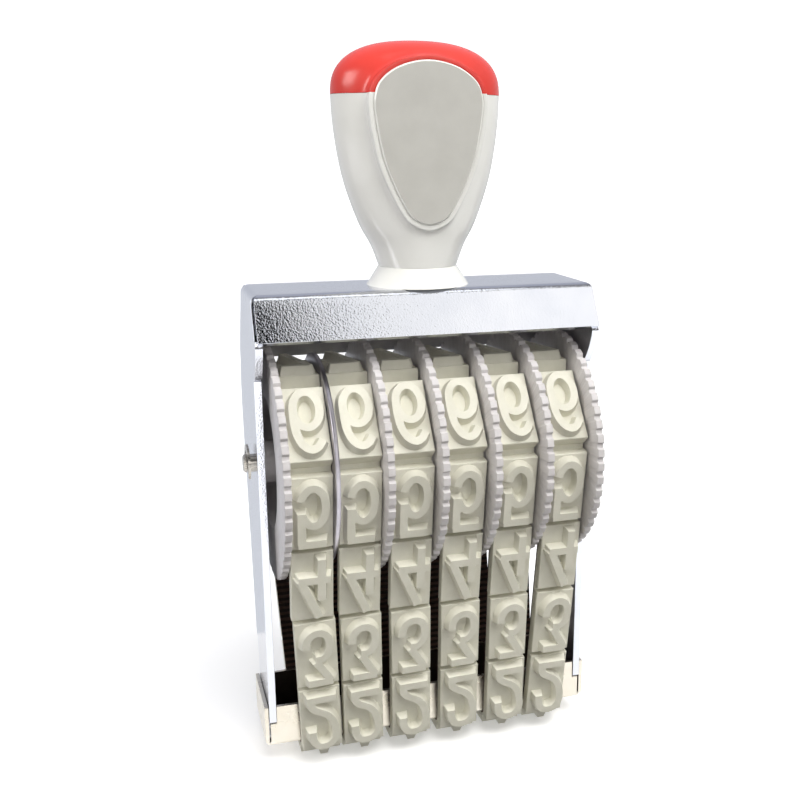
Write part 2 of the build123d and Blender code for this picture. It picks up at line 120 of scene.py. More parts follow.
# the room's light by direction: grey in front, two pale tints by height behind, and the gap's black
# inside a cone, whose edge is given by the cosine of the angle from its middle
GAP_TOWARDS = (-0.06, -0.68, 0.73)
GAP_EDGE = {"From Min": 0.90, "From Max": 0.95}
HEIGHT_SPAN = {"From Min": -0.05, "From Max": 0.3}
DEPTH_SPAN = {"From Min": -0.1, "From Max": 0.5}
REAR_LOW = linear("dfe2e9")
REAR_HIGH = linear("bfc2cd")
FRONT_GREY = linear("807e7c")
GAP_BLACK = linear("161616")
world = bpy.data.worlds.new("light tent")
scene.world = world
world.use_nodes = True
tree = world.node_tree
tree.nodes.clear()
toward = add_node(tree, "ShaderNodeTexCoord").outputs["Generated"]
way = add_node(tree, "ShaderNodeSeparateXYZ", links={"Vector": toward}).outputs
height = add_node(tree, "ShaderNodeMapRange", HEIGHT_SPAN, {"Value": way["Z"]}).outputs["Result"]
pale = {"data_type": "RGBA", "A": REAR_LOW, "B": REAR_HIGH}
rear = add_node(tree, "ShaderNodeMix", pale, {"Factor": height}).outputs["Result"]
behind = add_node(tree, "ShaderNodeMapRange", DEPTH_SPAN, {"Value": way["Y"]}).outputs["Result"]
grey = {"data_type": "RGBA", "A": FRONT_GREY}
level = add_node(tree, "ShaderNodeMix", grey, {"Factor": behind, "B": rear}).outputs["Result"]
cone = {"operation": "DOT_PRODUCT", 1: GAP_TOWARDS}
near = add_node(tree, "ShaderNodeVectorMath", cone, {0: toward}).outputs["Value"]
gap = add_node(tree, "ShaderNodeMapRange", GAP_EDGE, {"Value": near}).outputs["Result"]
black = {"data_type": "RGBA", "B": GAP_BLACK}
room = add_node(tree, "ShaderNodeMix", black, {"Factor": gap, "A": level}).outputs["Result"]
sky = add_node(tree, "ShaderNodeBackground", links={"Color": room})
add_node(tree, "ShaderNodeOutputWorld", links={"Surface": sky.outputs["Background"]})
scene.view_settings.view_transform = "Standard"

# white paper, giving a little light of its own so that it keeps its tone far from the lamps
GLOW = {"From Min": 0.15, "From Max": 1.2, "To Min": 0.22, "To Max": 0.85}
white = {"Base_Color": linear("f7f7f7"), "Emission_Color": linear("ffffff")}
paper, tree, shader = new_material("white paper", Roughness=0.9, **white)
place = add_node(tree, "ShaderNodeTexCoord").outputs["Object"]
far = add_node(tree, "ShaderNodeVectorMath", {"operation": "LENGTH"}, {0: place})
glow = add_node(tree, "ShaderNodeMapRange", GLOW, {"Value": far.outputs["Value"]})
tree.links.new(glow.outputs["Result"], shader.inputs["Emission Strength"])

TABLE_HALF_X = 1.1
TABLE_Y = (-1.1, 0.06)
FLOOR_Z = -0.0002
BOWL = ((0.01, FLOOR_Z), (1.2, FLOOR_Z), (1.3, FLOOR_Z), (1.64, 0.07), (1.94, 0.26), (2.13, 0.56))
BOWL += ((2.2, 0.9), (2.2, 3.0))
BOWL_STEPS = 96


def paper_piece(name, points, faces, in_chrome):
    """Piece of the studio's paper, left out of the shine of the chrome or not. It throws no light
    up under the stamp and keeps none of the room's light away."""
    sheet = bpy.data.meshes.new(name)
    sheet.from_pydata(points, [], faces)
    sheet.polygons.foreach_set("use_smooth", [True] * len(faces))
    sheet.materials.append(paper)
    piece = bpy.data.objects.new(name, sheet)
    piece.visible_diffuse = False
    piece.visible_shadow = False
    piece.visible_glossy = in_chrome
    scene.collection.objects.link(piece)


# the table ends just behind the stamp; the bowl is a profile turned about Z, on a disc of floor
corners = [(x, y, 0.0) for y in TABLE_Y for x in (-TABLE_HALF_X, TABLE_HALF_X)]
paper_piece("table", corners, [(0, 1, 3, 2)], True)
ring = 2 * math.pi * np.arange(BOWL_STEPS) / BOWL_STEPS
points = [(r * math.cos(t), r * math.sin(t), z) for r, z in BOWL for t in ring]
faces = [tuple(range(BOWL_STEPS))]
for row in range(len(BOWL) - 1):
    a = row * BOWL_STEPS + np.arange(BOWL_STEPS)
    b = row * BOWL_STEPS + (np.arange(BOWL_STEPS) + 1) % BOWL_STEPS
    faces += np.stack([a, a + BOWL_STEPS, b + BOWL_STEPS, b], -1).tolist()
paper_piece("paper bowl", points, faces, False)

# ------------------------------------------------------------------ yoke
# One blank of mild steel, 1.6 mm thick, folded down at both ends into the side legs, at the front
# into a short sloping flange and at the back into a longer wall, then chrome plated: hard and
# mirror-like, with the faint orange peel of plating laid over sheet that was not polished.
MM = 0.001
SHEET = 1.6
SHEET_EDGE = 0.3
TOP_Z = 108.35
TOP_HALF_X = 36.3
TOP_HALF_Y = 9.206
SIDE_BEND = 1.7
LEG_FACE_X = TOP_HALF_X + SIDE_BEND
FRONT_BEND = 2.2
SLOPE = 0.5556
SLOPE_TURN = math.atan(SLOPE)
FLANGE_HALF_X = 37.5
FLANGE_FOOT = (15.5, 99.35)
WALL_Y = 18.7
WALL_FOOT_Z = 90.2
CLEARANCE = 0.1
INNER_CORNER_Y = 8.67
LEG_FOOT_Z = 5.55
LEG_FRONT_Y = 8.9

# half depths of the legs at their heights: the hollow shoulder in front, and the back edge
SHOULDER_TOP_Z = 98.2
SHOULDER_FOOT_Z = 90.3
SHOULDER_Z = (SHOULDER_TOP_Z, 93.4, SHOULDER_FOOT_Z)
SHOULDER_Y = (14.2, 12.2, 9.9)
LEG_STEP_Z = 10.9
LEG_STEP_Y = 7.4
BACK_TOP_Z = 93.2
WAIST_Z = 76.0
LEG_BACK_Z = (BACK_TOP_Z, SHOULDER_FOOT_Z, 88.5, WAIST_Z, 13.0, LEG_FOOT_Z)
LEG_BACK_Y = (17.0, 17.0, 18.6, 18.4, 8.4, 7.4)

# a step in an edge is a drop this high, and points nearer than the gap are one
STEP_DROP = 0.05
WELD_GAP = 0.003
BEND_STEPS = 8


def close_up(mesh, gap, sliver, sheet=False):
    """Joins points nearer than the gap, drops faces thinner than the sliver, and turns the rest
    outwards; an open sheet is turned so that its highest face looks up."""
    work = bmesh.new()
    work.from_mesh(mesh)
    bmesh.ops.remove_doubles(work, verts=work.verts, dist=gap)
    bmesh.ops.dissolve_degenerate(work, edges=work.edges, dist=sliver)
    bmesh.ops.recalc_face_normals(work, faces=work.faces)
    if sheet and max(work.faces, key=lambda face: face.calc_center_median().z).normal.z < 0:
        bmesh.ops.reverse_faces(work, faces=work.faces)
    work.to_mesh(mesh)
    work.free()
    return mesh


def weld(name, grids, sheet=False):
    """Mesh from grids of points in mm (rows, columns, xyz), joined where their borders coincide."""
    quads, first = [], 0
    for grid in grids:
        rows, columns = grid.shape[:2]
        n = np.arange(rows * columns).reshape(rows, columns) + first
        quads.append(np.stack([n[:-1, :-1], n[:-1, 1:], n[1:, 1:], n[1:, :-1]], -1).reshape(-1, 4))
        first += rows * columns
    points = np.concatenate([grid.reshape(-1, 3) for grid in grids]) * MM
    mesh = bpy.data.meshes.new(name)
    mesh.from_pydata(points.tolist(), [], np.concatenate(quads).tolist())
    return close_up(mesh, WELD_GAP * MM, WELD_GAP * MM / 10, sheet)


def show(mesh, body, nodes, slot, *materials, crease=None):
    """Object for a finished mesh: smooth but for edges past the crease angle in degrees, with its
    materials, riding a body and standing for nodes."""
    if crease:
        mesh.set_sharp_from_angle(angle=math.radians(crease))
    piece = bpy.data.objects.new(mesh.name, mesh)
    scene.collection.objects.link(piece)
    for material in materials:
        mesh.materials.append(material)
    mesh.polygons.foreach_set("use_smooth", [True] * len(mesh.polygons))
    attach(piece, body)
    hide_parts(*nodes)
    return piece


def thicken(piece, thickness, edge):
    """Gives a sheet its thickness inwards and rolls its cut edges over by a small radius. The inner
    skin takes the sheet's second material."""
    solid = piece.modifiers.new("thickness", "SOLIDIFY")
    solid.thickness = thickness * MM
    solid.offset = -1
    solid.use_even_offset = True
    solid.use_rim = True
    solid.material_offset = 1
    bevel = piece.modifiers.new("edges", "BEVEL")
    bevel.width = edge * MM
    bevel.segments = 2
    bevel.limit_method = "ANGLE"
    bevel.angle_limit = math.radians(50)
    bevel.harden_normals = True


def xyz(x, y, z):
    """Grid of points from three arrays that broadcast to rows and columns."""
    return np.stack(np.broadcast_arrays(x, y, z), -1).astype(float)


def inner_line(z):
    """Half depth inside the two slopes at height z."""
    return INNER_CORNER_Y + (TOP_Z - z) * SLOPE


def blank_section(turn, foot):
    """Section (y, z, share) from the end of the flat top round the bend and down the slope. The share
    runs 0 to 1 along the bend, where the sheet grows from the top's width to the flange's."""
    t = np.linspace(0, turn, BEND_STEPS + 1)
    y = TOP_HALF_Y + FRONT_BEND * np.sin(t)
    z = TOP_Z - FRONT_BEND + FRONT_BEND * np.cos(t)
    down = np.linspace(0, 1, 7)[1:]
    y = np.append(y, y[-1] + (foot[0] - y[-1]) * down)
    z = np.append(z, z[-1] + (foot[1] - z[-1]) * down)
    return y, z, np.clip(np.arange(len(y)) / BEND_STEPS, 0, 1)


def yoke_sheet():
    """Outer skin of the yoke: flat top; front and back section swept across X and growing wider
    round the bend; side bends as quarter cylinders; legs as flat grids between two edge curves."""
    across = np.linspace(-1, 1, 25)
    depth = np.linspace(-1, 1, 9)
    top = xyz(TOP_HALF_X * across[None], TOP_HALF_Y * depth[:, None], TOP_Z)
    knee_turn = math.pi / 2 - SLOPE_TURN
    # front flange: one slope
    y, z, share = blank_section(knee_turn, FLANGE_FOOT)
    half = TOP_HALF_X + (FLANGE_HALF_X - TOP_HALF_X) * np.sin(share * math.pi / 2)
    flange = xyz(half[:, None] * across[None], -y[:, None], z[:, None])
    # back wall: the same slope longer, bent once more to hang straight down
    knee_y = WALL_Y - FRONT_BEND * (1 - math.cos(SLOPE_TURN))
    knee_z = TOP_Z - (knee_y - INNER_CORNER_Y - SHEET / math.cos(SLOPE_TURN)) / SLOPE
    y, z, share = blank_section(knee_turn, (knee_y, knee_z))
    t = np.linspace(SLOPE_TURN, 0, 8)[1:]
    bend_z = knee_z - FRONT_BEND * (math.sin(SLOPE_TURN) - np.sin(t))
    y = np.concatenate([y, WALL_Y - FRONT_BEND * (1 - np.cos(t)), [WALL_Y] * 3])
    z = np.concatenate([z, bend_z, np.linspace(bend_z[-1], WALL_FOOT_Z, 4)[1:]])
    half = np.append(share, np.ones(len(y) - len(share)))
    half = TOP_HALF_X + (FLANGE_HALF_X - TOP_HALF_X) * np.sin(half * math.pi / 2)
    wall = xyz(half[:, None] * across[None], y[:, None], z[:, None])
    # legs: their edges follow the slopes, then the shoulder in front and the waist behind, and step
    # in at the foot
    grids = [top, flange, wall]
    t = np.linspace(0, math.pi / 2, BEND_STEPS + 1)
    bend_x = TOP_HALF_X + SIDE_BEND * np.sin(t)
    bend_z = TOP_Z - SIDE_BEND * (1 - np.cos(t))
    bend_y = TOP_HALF_Y + (inner_line(bend_z[-1]) - TOP_HALF_Y) * (t / t[-1]) ** 2
    below = SHOULDER_FOOT_Z - STEP_DROP
    leg_z = [np.linspace(bend_z[-1], SHOULDER_TOP_Z, 5)]
    leg_z += [np.linspace(SHOULDER_TOP_Z, SHOULDER_FOOT_Z, 9)[1:], np.linspace(below, WAIST_Z, 4)]
    leg_z += [np.linspace(WAIST_Z, LEG_STEP_Z, 8)[1:], [LEG_STEP_Z - STEP_DROP, LEG_FOOT_Z]]
    leg_z = np.concatenate(leg_z)
    front = inner_line(leg_z) - CLEARANCE
    hollow = np.polyfit(SHOULDER_Z, SHOULDER_Y, 2)
    front = np.where(leg_z < SHOULDER_TOP_Z, np.polyval(hollow, leg_z), front)
    front = np.where(leg_z < SHOULDER_FOOT_Z - STEP_DROP / 2, LEG_FRONT_Y, front)
    front = np.where(leg_z < LEG_STEP_Z - STEP_DROP / 2, LEG_STEP_Y, front)
    front[0] = bend_y[-1]
    back = np.interp(-leg_z, -np.array(LEG_BACK_Z), LEG_BACK_Y)
    back = np.where(leg_z > BACK_TOP_Z, inner_line(leg_z) - CLEARANCE, back)
    back[0] = bend_y[-1]
    share = (depth[None] + 1) / 2
    leg_y = -front[:, None] + (front + back)[:, None] * share
    for side in (-1, 1):
        grids.append(xyz(side * bend_x[:, None], bend_y[:, None] * depth[None], bend_z[:, None]))
        grids.append(xyz(side * LEG_FACE_X, leg_y, leg_z[:, None]))
    return weld("yoke_sheet", grids, sheet=True)


def finish(tree, shader, cloud, tints, gloss=None, relief=None):
    """Gives a shader its finish. The middle of the cloud pattern's range, 0.3 to 0.7, runs from one
    tint to the other and, where gloss is given, from one roughness to the other. Relief is a pattern
    with the strength and the depth in mm of the bumps it makes."""
    ramp = add_node(tree, "ShaderNodeValToRGB", links={"Fac": cloud.outputs["Fac"]})
    for stop, at, colour in zip(ramp.color_ramp.elements, (0.3, 0.7), tints):
        stop.color = linear(colour)
        stop.position = at
    tree.links.new(ramp.outputs["Color"], shader.inputs["Base Color"])
    if gloss:
        span = {"From Min": 0.3, "From Max": 0.7, "To Min": gloss[0], "To Max": gloss[1]}
        rough = add_node(tree, "ShaderNodeMapRange", span, {"Value": cloud.outputs["Fac"]})
        tree.links.new(rough.outputs["Result"], shader.inputs["Roughness"])
    if relief:
        pattern, strength, depth = relief
        bumps = {"Strength": strength, "Distance": depth * MM}
        bump = add_node(tree, "ShaderNodeBump", bumps, {"Height": pattern.outputs["Fac"]})
        tree.links.new(bump.outputs["Normal"], shader.inputs["Normal"])


def per_mm(size):
    """Texture scale, in metres, of a pattern whose features are about this many mm across."""
    return 1 / (size * MM)


# chrome plate, a nearly colourless mirror; its peel is really finer than these 0.4 mm cells, which
# are as coarse as they need to be to show
chrome, tree, shader = new_material("bright chrome plate on pressed steel", Metallic=1.0)
place = add_node(tree, "ShaderNodeTexCoord").outputs["Object"]
cells = {"Scale": per_mm(0.4), "Detail": 1.0, "Roughness": 0.6}
peel = add_node(tree, "ShaderNodeTexNoise", cells, {"Vector": place})
haze = add_node(tree, "ShaderNodeTexNoise", {"Scale": per_mm(14), "Detail": 3.0}, {"Vector": place})
finish(tree, shader, haze, ("cfd2da", "dcdee4"), gloss=(0.08, 0.16), relief=(peel, 0.4, 0.08))

# inside the fold the plating is thin, so the metal is whitish and only half shiny
satin, tree, shader = new_material("thin satin chrome inside the yoke", Metallic=1.0)
place = add_node(tree, "ShaderNodeTexCoord").outputs["Object"]
haze = add_node(tree, "ShaderNodeTexNoise", {"Scale": per_mm(5), "Detail": 4.0}, {"Vector": place})
finish(tree, shader, haze, ("c4c3c6", "d8d7d8"), gloss=(0.34, 0.44))

yoke = show(yoke_sheet(), "frame", ["yoke"], "chromed_steel", chrome, satin)
thicken(yoke, SHEET, SHEET_EDGE)

# ------------------------------------------------------------------ bridge
# Channel of 0.9 mm sheet under the bands, folded up on four sides and nickel plated: warmer and
# softer than chrome. Its front is slotted for the legs, and a seam is left open at each corner.
BRIDGE_X = 39.0
BRIDGE_Y = 8.6
BRIDGE_FOOT_Z = 4.65
BRIDGE_TOP_Z = 14.55
BRIDGE_SHEET = 0.9
BRIDGE_EDGE = 0.12
BRIDGE_BEND = 1.2
SLOT_FOOT_Z = 10.4
SLOT_X = 36.35
SEAM_X = BRIDGE_X - BRIDGE_BEND


def bridge_sheet():
    """Outer skin of the channel: flat floor, quarter-cylinder bends and eighth-sphere corners, front
    and back flanges with a step down at the leg slots, and end flanges as tall as them."""
    x = np.concatenate([[-SEAM_X, -SLOT_X], np.linspace(-SLOT_X, SLOT_X, 13)[1:-1], [SLOT_X, SEAM_X]])
    inner_y = BRIDGE_Y - BRIDGE_BEND
    y = np.linspace(-inner_y, inner_y, 5)
    bend_z = BRIDGE_FOOT_Z + BRIDGE_BEND
    t = np.linspace(0, math.pi / 2, 5)
    out = BRIDGE_BEND * np.sin(t)
    up = bend_z - BRIDGE_BEND * np.cos(t)
    low = np.linspace(bend_z, SLOT_FOOT_Z, 3)[:, None]
    high = np.linspace(SLOT_FOOT_Z, BRIDGE_TOP_Z, 3)[:, None]
    grids = [xyz(x[None], y[:, None], BRIDGE_FOOT_Z)]
    for side in (-1, 1):
        grids.append(xyz(x[None], side * (inner_y + out)[:, None], up[:, None]))
        grids.append(xyz(x[None], side * BRIDGE_Y, low))
        grids.append(xyz(x[None, 1:-1], side * BRIDGE_Y, high))
        grids.append(xyz(side * (SEAM_X + out)[:, None], y[None], up[:, None]))
        end_y = np.concatenate([[-BRIDGE_Y], y, [BRIDGE_Y]])
        grids.append(xyz(side * BRIDGE_X, end_y[None], np.vstack([low, high[1:]])))
        for end in (-1, 1):
            corner_x = SEAM_X + out[:, None] * np.cos(t)[None]
            corner_y = inner_y + out[:, None] * np.sin(t)[None]
            grids.append(xyz(side * corner_x, end * corner_y, up[:, None]))
    return weld("bridge_sheet", grids)


# nickel plate keeps a yellowish warmth and a soft shine, over the fine grain of rolled sheet
nickel, tree, shader = new_material("satin nickel plate on folded sheet", Metallic=1.0)
place = add_node(tree, "ShaderNodeTexCoord").outputs["Object"]
haze = add_node(tree, "ShaderNodeTexNoise", {"Scale": per_mm(9), "Detail": 4.0}, {"Vector": place})
grain = add_node(tree, "ShaderNodeTexNoise", {"Scale": per_mm(0.4), "Detail": 2.0}, {"Vector": place})
finish(tree, shader, haze, ("d8d1c3", "e4dfd4"), gloss=(0.24, 0.36), relief=(grain, 0.2, 0.03))

# inside the channel the nickel is painted dark, a painted shade standing for the shadow there, and is
# rough, so it shines little
painted_shade_nickel, tree, shader = new_material("nickel inside the channel darkened with painted shade", Metallic=1.0, Roughness=0.5)
place = add_node(tree, "ShaderNodeTexCoord").outputs["Object"]
haze = add_node(tree, "ShaderNodeTexNoise", {"Scale": per_mm(4), "Detail": 4.0}, {"Vector": place})
finish(tree, shader, haze, ("5a5148", "6e6459"))

# the channel's inner skin takes the nickel that is darkened with painted shade
bridge = show(bridge_sheet(), "frame", ["bridge"], "nickelled_steel", nickel, painted_shade_nickel)
thicken(bridge, BRIDGE_SHEET, BRIDGE_EDGE)

# ------------------------------------------------------------------ axle, clips, stud, washer and nut
# Drawn steel rod, turned to length, and stamped spring clips in its end grooves. The stud, washer
# and nut under the top plate are plain steel too. All keep their CAD shapes.

# drawing leaves fine lines along the rod, which blur its shine across them
LINE_STRETCH = (0.04, 1.0, 1.0)
steel, tree, shader = new_material("drawn steel rod", Metallic=1.0)
place = add_node(tree, "ShaderNodeTexCoord").outputs["Object"]
drawn = add_node(tree, "ShaderNodeMapping", {"Scale": LINE_STRETCH}, {"Vector": place}).outputs["Vector"]
lines = add_node(tree, "ShaderNodeTexNoise", {"Scale": per_mm(0.3), "Detail": 3.0}, {"Vector": drawn})
finish(tree, shader, lines, ("a9a49b", "c9c5bd"), gloss=(0.22, 0.38), relief=(lines, 0.3, 0.02))


def coat_node(name, material):
    """Gives a CAD node that keeps its shape a finished material."""
    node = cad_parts[name]
    node.data.materials.clear()
    node.data.materials.append(material)


for name in ("axle", "axle_ring_left", "axle_ring_right", "stud", "washer", "nut"):
    coat_node(name, steel)

# ------------------------------------------------------------------ separator
# Thin stamped disc of satin-finished steel, standing still on the axle between the first two bands.
# Tumbling has rounded its rim, which draws a bright line round it.
AXLE_Z = 70.0
AXLE_R = 2.0
SEPARATOR_X = -23.4
SEPARATOR_T = 1.0
SEPARATOR_R = 23.6


def rounded(corners, radius, steps=3):
    """Closed outline with every corner cut by a short quadratic arc: the corner is the arc's middle
    control point, and the arc starts and ends the given distance away along both sides."""
    corners = np.asarray(corners, float)
    radius = np.broadcast_to(np.asarray(radius, float), len(corners))[:, None]
    before = np.roll(corners, 1, 0) - corners
    after = np.roll(corners, -1, 0) - corners
    start = corners + before / np.linalg.norm(before, axis=1, keepdims=True) * radius
    end = corners + after / np.linalg.norm(after, axis=1, keepdims=True) * radius
    t = np.linspace(0, 1, steps)[None, :, None]
    bow = start[:, None] * (1 - t) ** 2 + 2 * corners[:, None] * t * (1 - t) + end[:, None] * t**2
    return bow.reshape(-1, 2)


def turned(profile, angles, cut=0.0):
    """Grid of a shape turned about the axle: profile (x, r) down the rows, angles along the columns,
    closed both ways. A cut, given for rows and columns, is taken off the radius."""
    x = np.append(profile[:, 0], profile[0, 0])
    r = np.append(profile[:, 1], profile[0, 1])[:, None] - cut
    return xyz(x[:, None], r * np.cos(angles)[None], AXLE_Z + r * np.sin(angles)[None])


# satin steel: a soft, slightly cool grey shine without clear reflections
disc_steel, tree, shader = new_material("satin steel disc", Metallic=1.0)
place = add_node(tree, "ShaderNodeTexCoord").outputs["Object"]
haze = add_node(tree, "ShaderNodeTexNoise", {"Scale": per_mm(3), "Detail": 4.0}, {"Vector": place})
finish(tree, shader, haze, ("a6a3ab", "c0bdc4"), gloss=(0.34, 0.42))

half = SEPARATOR_T / 2
rim = [(-half, AXLE_R), (half, AXLE_R), (half, SEPARATOR_R), (-half, SEPARATOR_R)]
outline = rounded([(SEPARATOR_X + x, r) for x, r in rim], (0.1, 0.1, 0.3, 0.3))
grid = turned(outline, np.linspace(0, 2 * math.pi, 181))
show(weld("separator_disc", [grid]), "frame", ["separator"], "steel", disc_steel)

# ------------------------------------------------------------------ thumbwheels
# Moulded in pale lilac-grey acetal: a toothed disc to turn with the thumb, and a hollow drum that
# the band lies on. Acetal is slightly waxy and slippery, so the gloss is soft.
TEETH = 52
RIM_R = 26.2
RIM_ROUND = 0.3
TOOTH_DEPTH = 0.7
GASH_HALF = 0.21
GASH_EASE = 0.06
DISC_T = 1.6
DRUM_R = 18.05
CAVITY_R = 14.6
HUB_R = 4.6
BORE_R = 2.05
WEB_T = 2.0
STEPS_PER_TOOTH = 16

# places along the axle of each wheel's toothed face, its drum's closed end and its hub's end
WHEEL_FACES = (-34.9, -11.9, -0.2, 11.5, 23.2, 34.9)
DRUM_STARTS = (-24.0, -22.8, -11.8, -0.1, 11.6, 23.3)
HUB_ENDS = (-36.3, -11.9, -0.2, 11.5, 23.2, 36.3)


def wheel_grid(face, drum, hub):
    """Turned outline of drum, disc, cavity and hub, with the teeth taken off the rim: over each pitch
    the cut is a smoothed square wave, nothing for most of it and full depth in a narrow gash, whose
    half width and eased edge are shares of the pitch."""
    way = 1 if face > drum else -1
    disc = face - way * DISC_T
    floor_x = drum + way * WEB_T
    corners = [(drum, BORE_R), (drum, DRUM_R), (disc, DRUM_R), (disc, RIM_R), (face, RIM_R)]
    corners += [(face, CAVITY_R), (floor_x, CAVITY_R), (floor_x, HUB_R), (hub, HUB_R), (hub, BORE_R)]
    outline = rounded(corners, (0.1, 0.3, 0.15, RIM_ROUND, RIM_ROUND, 0.3, 0.3, 0.3, 0.2, 0.1))
    share = np.arange(TEETH * STEPS_PER_TOOTH + 1) / STEPS_PER_TOOTH
    gash = np.clip((GASH_HALF - np.abs(share % 1 - 0.5)) / GASH_EASE, 0, 1)
    gash = TOOTH_DEPTH * gash * gash * (3 - 2 * gash)
    on_rim = np.append(outline[:, 1], outline[0, 1]) > RIM_R - RIM_ROUND - 0.01
    angles = 2 * math.pi * share / TEETH
    return turned(outline, angles, on_rim[:, None] * gash[None])


# acetal, a slightly waxy grey with a soft gloss
acetal, tree, shader = new_material("moulded acetal", Roughness=0.36, IOR=1.48)
place = add_node(tree, "ShaderNodeTexCoord").outputs["Object"]
flow = {"Scale": per_mm(6), "Detail": 5.0, "Roughness": 0.6}
cloud = add_node(tree, "ShaderNodeTexNoise", flow, {"Vector": place})
skin = add_node(tree, "ShaderNodeTexNoise", {"Scale": per_mm(0.35), "Detail": 2.0}, {"Vector": place})
finish(tree, shader, cloud, ("c7c3c3", "d3d0d0"), relief=(skin, 0.25, 0.03))

for n, places in enumerate(zip(WHEEL_FACES, DRUM_STARTS, HUB_ENDS), 1):
    wheel = weld(f"thumbwheel_{n}_moulding", [wheel_grid(*places)])
    show(wheel, f"wheel_{n}", [f"thumbwheel_{n}"], "wheel_plastic", acetal, crease=38)

# ------------------------------------------------------------------ bands
# Each band is moulded in pale rubber on a woven brown lining: an endless strap, twelve flat pads
# with a groove between them, and on ten pads a numeral cut in reverse, its sides sloping outwards.
BAND_HALF = 4.55
STRAP = 1.1
STRAP_CUT = 0.12
LINING = 0.4
LAP = 0.1
PAD_TOP = 2.7
PAD_ROOT = 0.7
RELIEF = 1.9
BLOCKS = 12
GROOVE = 1.0
PAD_EDGE = 0.14

# the strap's way round: flat under the bridge, a small arc up on each side, a straight run that
# leans outwards, and the drum. S is the length along the strap's middle line from below the axle
# to where the run starts, where the drum starts, and the top.
WRAP_R = 18.1
CORNER_R = 1.25
CORNER_Y = 7.4
CORNER_Z = 5.85
SPAN = math.hypot(CORNER_Y, AXLE_Z - CORNER_Z)
LEAN = math.asin((WRAP_R - CORNER_R) / SPAN) - math.atan2(CORNER_Y, AXLE_Z - CORNER_Z)
S_RUN = CORNER_Y + (CORNER_R + STRAP / 2) * (math.pi / 2 + LEAN)
S_DRUM = S_RUN + math.sqrt(SPAN**2 - (WRAP_R - CORNER_R) ** 2)
S_TOP = S_DRUM + (WRAP_R + STRAP / 2) * (math.pi / 2 + LEAN)
PITCH = 2 * S_TOP / BLOCKS

# each band's place between the discs and its place on the bridge, to which it drifts below SKEW_Z
SKEW_Z = 47.0
BAND_ROOMS = (-28.6, -18.2, -6.85, 4.85, 16.55, 28.25)
BRIDGE_PLACES = (-26.5, -16.8, -5.5, 6.0, 17.6, 27.8)

# half width of a stroke at its top and at its base, the size of the cells a pad is drawn in, and
# the distance from any stroke that a plain pad is given
HALF_TOP = 0.85
HALF_BASE = 1.42
CELL = 0.18
FAR = 9.0
PAD_SLIVER = 0.0005


def arc(cx, cy, rx, ry, start, end, steps=22):
    """Points on part of an ellipse, angles in degrees."""
    t = np.radians(np.linspace(start, end, steps))
    return np.stack([cx + rx * np.cos(t), cy + ry * np.sin(t)], -1)


def stretch(a, b, c, d, t):
    """Catmull-Rom cubic from b to c at shares t of the way, led by the points a before and d after."""
    square = a - 2.5 * b + 2 * c - d / 2
    cube = 1.5 * (b - c) + (d - a) / 2
    return b + (c - a) * t / 2 + square * t**2 + cube * t**3


def bent(*points, steps=5):
    """Smooth line through points, with its ends led by their neighbours' mirror images."""
    p = np.asarray(points, float)
    p = np.vstack([2 * p[0] - p[1], p, 2 * p[-1] - p[-2]])
    t = np.linspace(0, 1, steps, endpoint=False)[:, None]
    curve = stretch(*(p[i:len(p) - 3 + i, None] for i in range(4)), t)
    return np.vstack([curve.reshape(-1, 2), p[-2:-1]])


def bar(*ends):
    """Straight line between two points."""
    return np.asarray(ends, float)


# strokes of the numerals in mm from the middle of the pad, upright and the right way round
BOWL_OF_TWO = ((-2.35, 2.2), (-2.2, 4.4), (-1.3, 6.0), (0.2, 6.45), (1.9, 5.9), (2.9, 4.3), (2.95, 2.0))
BOWL_OF_TWO += ((2.2, -0.7), (0.7, -2.5), (-1.5, -3.9), (-2.2, -5.1), (-2.3, -6.45))
BOWL_OF_THREE = ((-0.5, 0.35), (0.9, 0.3), (2.1, -0.7), (2.75, -2.7), (2.5, -4.9), (1.4, -6.2))
BOWL_OF_THREE += ((0.0, -6.5), (-1.4, -5.9), (-2.3, -4.4), (-2.5, -2.6))
BOWL_OF_FIVE = ((-2.3, -0.5), (-1.3, 1.3), (0.2, 2.1), (1.7, 1.3), (2.5, -0.7), (2.6, -2.9))
BOWL_OF_FIVE += ((2.1, -5.0), (0.8, -6.3), (-0.7, -6.35), (-2.0, -5.1), (-2.5, -3.6))
TAIL_OF_SIX = ((-2.65, -2.5), (-2.65, 0.6), (-2.3, 3.2), (-1.3, 5.4), (0.3, 6.35))
TAIL_OF_SIX += ((1.7, 5.8), (2.75, 4.3))
ZERO = [arc(0, 3.2, 2.75, 3.25, 0, 180), arc(0, -3.2, 2.75, 3.25, 180, 360)]
ZERO += [bar((-2.75, -3.2), (-2.75, 3.2)), bar((2.75, -3.2), (2.75, 3.2))]
SIX = [arc(0.1, -2.5, 2.75, 3.95, 0, 360, 48), bent(*TAIL_OF_SIX)]
NUMERALS = (
    ZERO,
    [bar((0.9, -7.3), (0.9, 7.3)), bar((-1.7, 4.3), (0.5, 6.3))],
    [bent(*BOWL_OF_TWO), bar((-3.1, -6.45), (3.4, -6.45))],
    [bar((-2.45, 6.4), (3.0, 6.4)), bar((2.7, 6.3), (-0.45, 0.9)), bent(*BOWL_OF_THREE)],
    [bar((1.3, 6.9), (-2.7, -2.4)), bar((-3.2, -2.3), (3.65, -2.3)), bar((1.75, -7.3), (1.75, 2.7))],
    [bar((-3.1, 6.4), (2.8, 6.4)), bar((-2.4, 6.4), (-2.4, -0.9)), bent(*BOWL_OF_FIVE)],
    SIX,
    [bar((-3.3, 6.4), (2.9, 6.4)), bar((2.6, 6.6), (-1.0, -7.3))],
    [arc(0, 3.35, 2.35, 3.05, 0, 360, 40), arc(0, -3.1, 2.75, 3.4, 0, 360, 44)],
    [-line for line in SIX],
)


